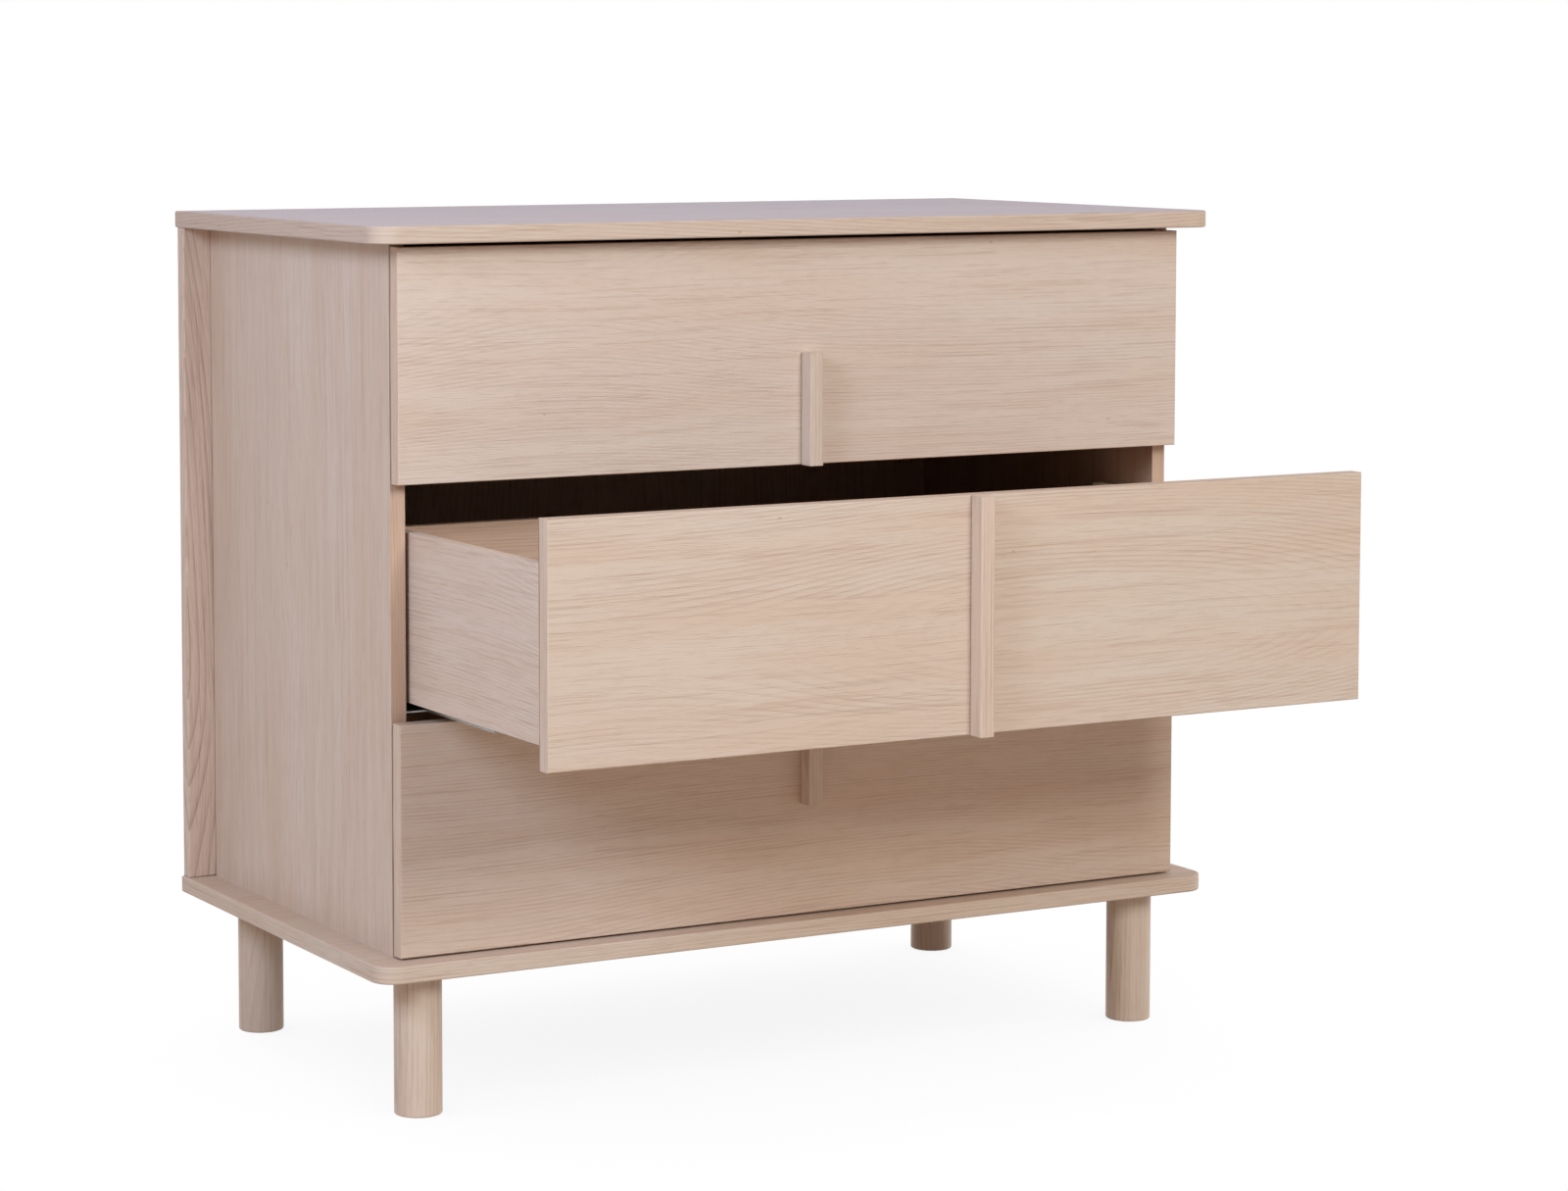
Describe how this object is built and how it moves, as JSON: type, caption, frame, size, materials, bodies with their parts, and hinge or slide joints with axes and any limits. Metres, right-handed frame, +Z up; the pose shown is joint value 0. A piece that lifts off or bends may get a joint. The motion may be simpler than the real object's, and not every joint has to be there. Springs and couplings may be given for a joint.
{
  "type": "chest of drawers",
  "caption": "Wide low chest of drawers in pale oak finish on round legs, with overhanging top and bottom plates, flush bar handles and concealed telescopic runners.",
  "frame": {"origin": "on the floor, at the bottom centre of the whole box of the stored pose, which includes the open middle drawer and its handle, so it lies on the chest's own left-right middle plane", "axes": "+X to the right seen from the front, +Y from the drawer fronts to the back, +Z up"},
  "size_m": [1, 0.859, 0.898],
  "materials": {
    "oak_plates": "matt lacquered pale oak board",
    "oak_case": "matt lacquered pale oak board, upright grain",
    "oak_fronts": "matt lacquered pale oak board, level grain",
    "oak_handles": "matt lacquered solid oak, upright grain",
    "oak_legs": "matt lacquered turned oak",
    "oak_drawer_box": "matt oak-look board",
    "drawer_bottom_board": "matt faced fibreboard",
    "beech_dowels": "raw fluted beech",
    "rail_steel": "zinc-plated folded sheet",
    "zinc_fittings": "zinc-plated"
  },
  "bodies": {
    "case": {"top_panel": "oak_plates", "bottom_panel": "oak_plates", "left_side_panel": "oak_case", "right_side_panel": "oak_case", "back_panel": "oak_case", "front_left_leg": "oak_legs", "front_right_leg": "oak_legs", "rear_left_leg": "oak_legs", "rear_right_leg": "oak_legs", "leg_bolts": "zinc_fittings", "leg_insert_nuts": "zinc_fittings", "case_dowels": "beech_dowels", "case_cam_bolts": "zinc_fittings", "case_cams": "zinc_fittings", "back_panel_screws": "zinc_fittings", "bottom_left_case_rail": "rail_steel", "bottom_right_case_rail": "rail_steel", "middle_left_case_rail": "rail_steel", "middle_right_case_rail": "rail_steel", "top_left_case_rail": "rail_steel", "top_right_case_rail": "rail_steel", "case_rail_screws": "zinc_fittings"},
    "bottom_drawer": {"bottom_drawer_front": "oak_fronts", "bottom_drawer_handle": "oak_handles", "bottom_drawer_back": "oak_drawer_box", "bottom_drawer_left_side": "oak_drawer_box", "bottom_drawer_right_side": "oak_drawer_box", "bottom_drawer_bottom": "drawer_bottom_board", "bottom_drawer_dowels": "beech_dowels", "bottom_handle_screws": "zinc_fittings", "bottom_left_drawer_rail": "rail_steel", "bottom_right_drawer_rail": "rail_steel"},
    "bottom_middle_rails": {"bottom_left_middle_rail": "rail_steel", "bottom_right_middle_rail": "rail_steel"},
    "middle_drawer": {"middle_drawer_front": "oak_fronts", "middle_drawer_handle": "oak_handles", "middle_drawer_back": "oak_drawer_box", "middle_drawer_left_side": "oak_drawer_box", "middle_drawer_right_side": "oak_drawer_box", "middle_drawer_bottom": "drawer_bottom_board", "middle_drawer_dowels": "beech_dowels", "middle_handle_screws": "zinc_fittings", "middle_left_drawer_rail": "rail_steel", "middle_right_drawer_rail": "rail_steel"},
    "middle_middle_rails": {"middle_left_middle_rail": "rail_steel", "middle_right_middle_rail": "rail_steel"},
    "top_drawer": {"top_drawer_front": "oak_fronts", "top_drawer_handle": "oak_handles", "top_drawer_back": "oak_drawer_box", "top_drawer_left_side": "oak_drawer_box", "top_drawer_right_side": "oak_drawer_box", "top_drawer_bottom": "drawer_bottom_board", "top_drawer_dowels": "beech_dowels", "top_handle_screws": "zinc_fittings", "top_left_drawer_rail": "rail_steel", "top_right_drawer_rail": "rail_steel"},
    "top_middle_rails": {"top_left_middle_rail": "rail_steel", "top_right_middle_rail": "rail_steel"}
  },
  "joints": [
    {"name": "bottom_drawer_slide", "type": "slide", "parent": "case", "child": "bottom_drawer", "axis": [0, -1, 0], "range_m": [0, 0.4]},
    {"name": "bottom_rails_slide", "type": "slide", "parent": "case", "child": "bottom_middle_rails", "axis": [0, -1, 0], "range_m": [0, 0.2]},
    {"name": "middle_drawer_slide", "type": "slide", "parent": "case", "child": "middle_drawer", "axis": [0, -1, 0], "range_m": [-0.328, 0.072]},
    {"name": "middle_rails_slide", "type": "slide", "parent": "case", "child": "middle_middle_rails", "axis": [0, -1, 0], "range_m": [-0.164, 0.036]},
    {"name": "top_drawer_slide", "type": "slide", "parent": "case", "child": "top_drawer", "axis": [0, -1, 0], "range_m": [0, 0.4]},
    {"name": "top_rails_slide", "type": "slide", "parent": "case", "child": "top_middle_rails", "axis": [0, -1, 0], "range_m": [0, 0.2]}
  ],
  "couplings": [
    {"joint": "bottom_rails_slide", "follows": "bottom_drawer_slide", "ratio": 0.5},
    {"joint": "middle_rails_slide", "follows": "middle_drawer_slide", "ratio": 0.5},
    {"joint": "top_rails_slide", "follows": "top_drawer_slide", "ratio": 0.5}
  ]
}
